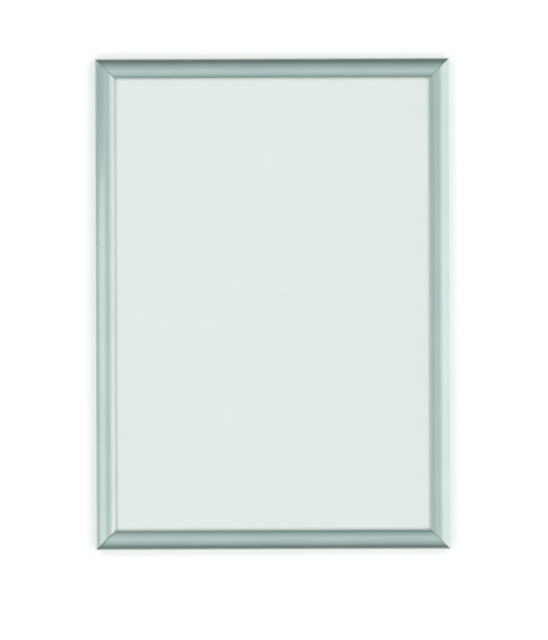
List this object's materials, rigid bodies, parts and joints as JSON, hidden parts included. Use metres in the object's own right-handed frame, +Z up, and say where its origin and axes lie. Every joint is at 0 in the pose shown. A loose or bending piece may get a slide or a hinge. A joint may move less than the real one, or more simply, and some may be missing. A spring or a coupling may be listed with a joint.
{
  "type": "outdoor snap frame",
  "caption": "Wall-mounted poster frame: mitred aluminium rails that snap open on their outer edges to change the sheet, with leaf springs, weather seals, a clear cover and a back panel.",
  "frame": {"origin": "centre of the frame's outline on the wall plane, which is its flat back", "axes": "+X right as seen from the front, +Z up, +Y into the wall; the front faces -Y"},
  "size_m": [0.45, 0.016, 0.624],
  "materials": {
    "anodised_aluminium": "satin anodised",
    "base_aluminium": "plain extruded",
    "spring_steel": "rolled strip",
    "zinc_steel": "zinc plated",
    "seal_rubber": "matt",
    "panel_plastic": "matt",
    "poster_paper": "uncoated",
    "clear_sheet": "anti-glare"
  },
  "bodies": {
    "base": {"base_rail_top": "base_aluminium", "base_rail_bottom": "base_aluminium", "base_rail_left": "base_aluminium", "base_rail_right": "base_aluminium", "corner_key_top_left": "zinc_steel", "corner_key_top_right": "zinc_steel", "corner_key_bottom_left": "zinc_steel", "corner_key_bottom_right": "zinc_steel", "key_screw_top_left_1": "zinc_steel", "key_screw_top_left_2": "zinc_steel", "key_screw_top_right_1": "zinc_steel", "key_screw_top_right_2": "zinc_steel", "key_screw_bottom_left_1": "zinc_steel", "key_screw_bottom_left_2": "zinc_steel", "key_screw_bottom_right_1": "zinc_steel", "key_screw_bottom_right_2": "zinc_steel", "back_panel": "panel_plastic", "poster_sheet": "poster_paper", "cover_sheet": "clear_sheet"},
    "snap_top": {"snap_rail_top": "anodised_aluminium", "weather_seal_top": "seal_rubber"},
    "springs_top": {"leaf_spring_top_1": "spring_steel", "leaf_spring_top_2": "spring_steel"},
    "snap_bottom": {"snap_rail_bottom": "anodised_aluminium", "weather_seal_bottom": "seal_rubber"},
    "springs_bottom": {"leaf_spring_bottom_1": "spring_steel", "leaf_spring_bottom_2": "spring_steel"},
    "snap_left": {"snap_rail_left": "anodised_aluminium", "weather_seal_left": "seal_rubber"},
    "springs_left": {"leaf_spring_left_1": "spring_steel", "leaf_spring_left_2": "spring_steel", "leaf_spring_left_3": "spring_steel"},
    "snap_right": {"snap_rail_right": "anodised_aluminium", "weather_seal_right": "seal_rubber"},
    "springs_right": {"leaf_spring_right_1": "spring_steel", "leaf_spring_right_2": "spring_steel", "leaf_spring_right_3": "spring_steel"}
  },
  "joints": [
    {"name": "snap_top_hinge", "type": "hinge", "parent": "base", "child": "snap_top", "pos_m": [0, -0.0075, 0.3108], "axis": [-1, 0, 0], "range_deg": [0, 90], "deforming": ["leaf_spring_top_1", "leaf_spring_top_2"]},
    {"name": "springs_top_rock", "type": "hinge", "parent": "base", "child": "springs_top", "pos_m": [0, -0.01238, 0.2994], "axis": [-1, 0, 0], "range_deg": [-51, 0]},
    {"name": "snap_bottom_hinge", "type": "hinge", "parent": "base", "child": "snap_bottom", "pos_m": [0, -0.0075, -0.3108], "axis": [1, 0, 0], "range_deg": [0, 90], "deforming": ["leaf_spring_bottom_1", "leaf_spring_bottom_2"]},
    {"name": "springs_bottom_rock", "type": "hinge", "parent": "base", "child": "springs_bottom", "pos_m": [0, -0.01238, -0.2994], "axis": [1, 0, 0], "range_deg": [-51, 0]},
    {"name": "snap_left_hinge", "type": "hinge", "parent": "base", "child": "snap_left", "pos_m": [-0.2238, -0.0075, 0], "axis": [0, 0, -1], "range_deg": [0, 90], "deforming": ["leaf_spring_left_1", "leaf_spring_left_2", "leaf_spring_left_3"]},
    {"name": "springs_left_rock", "type": "hinge", "parent": "base", "child": "springs_left", "pos_m": [-0.2124, -0.01238, 0], "axis": [0, 0, -1], "range_deg": [-51, 0]},
    {"name": "snap_right_hinge", "type": "hinge", "parent": "base", "child": "snap_right", "pos_m": [0.2238, -0.0075, 0], "axis": [0, 0, 1], "range_deg": [0, 90], "deforming": ["leaf_spring_right_1", "leaf_spring_right_2", "leaf_spring_right_3"]},
    {"name": "springs_right_rock", "type": "hinge", "parent": "base", "child": "springs_right", "pos_m": [0.2124, -0.01238, 0], "axis": [0, 0, 1], "range_deg": [-51, 0]}
  ],
  "couplings": [
    {"joint": "springs_top_rock", "follows": "snap_top_hinge", "ratio": -0.5586},
    {"joint": "springs_bottom_rock", "follows": "snap_bottom_hinge", "ratio": -0.5586},
    {"joint": "springs_left_rock", "follows": "snap_left_hinge", "ratio": -0.5586},
    {"joint": "springs_right_rock", "follows": "snap_right_hinge", "ratio": -0.5586}
  ]
}
